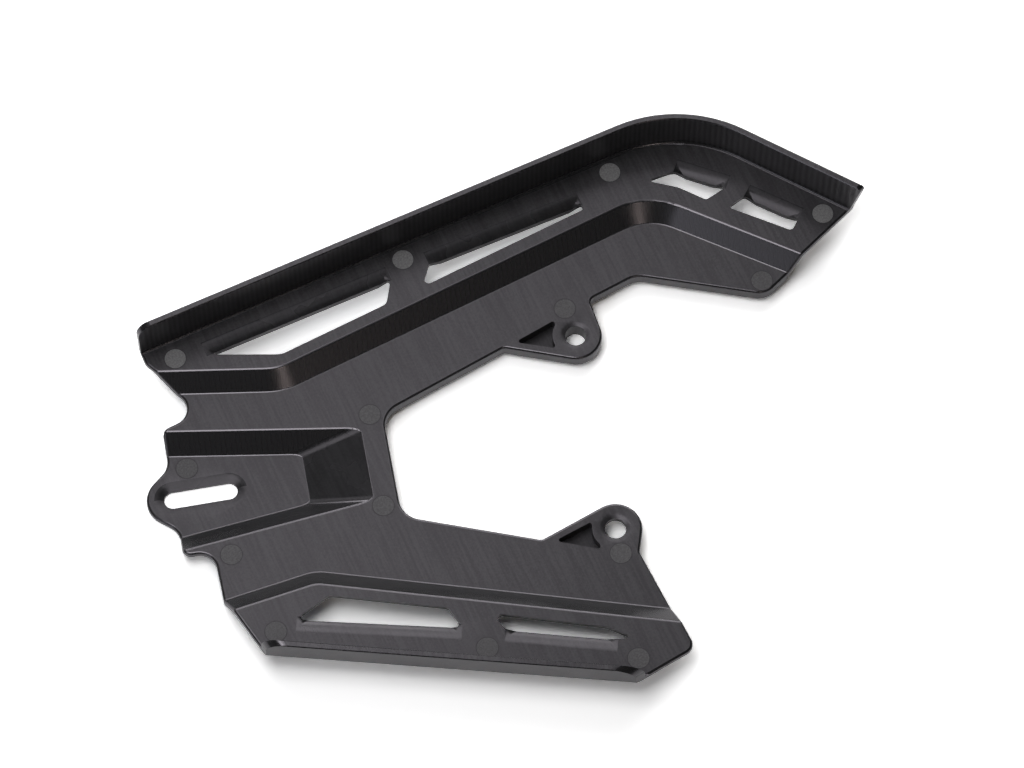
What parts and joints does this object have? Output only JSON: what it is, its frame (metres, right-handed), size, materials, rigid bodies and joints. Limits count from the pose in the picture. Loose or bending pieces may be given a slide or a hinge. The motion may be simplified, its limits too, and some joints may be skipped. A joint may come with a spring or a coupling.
{
  "type": "motorcycle chain guard",
  "caption": "Moulded black plastic chain guard with a standing top flange, long windows, a fork opening between mounting ears and a slotted front tab.",
  "frame": {"origin": "midway between the two ear bolt holes, in the middle of the panel's wall", "axes": "+X from the slotted front tab to the rear, +Y across the guard towards the tall top flange, +Z out of the inner face"},
  "size_m": [0.3458, 0.2645, 0.0392],
  "materials": {
    "black_plastic": "satin moulded face with fine tooling streaks"
  },
  "bodies": {
    "root": {"chain_guard": "black_plastic"}
  },
  "joints": []
}
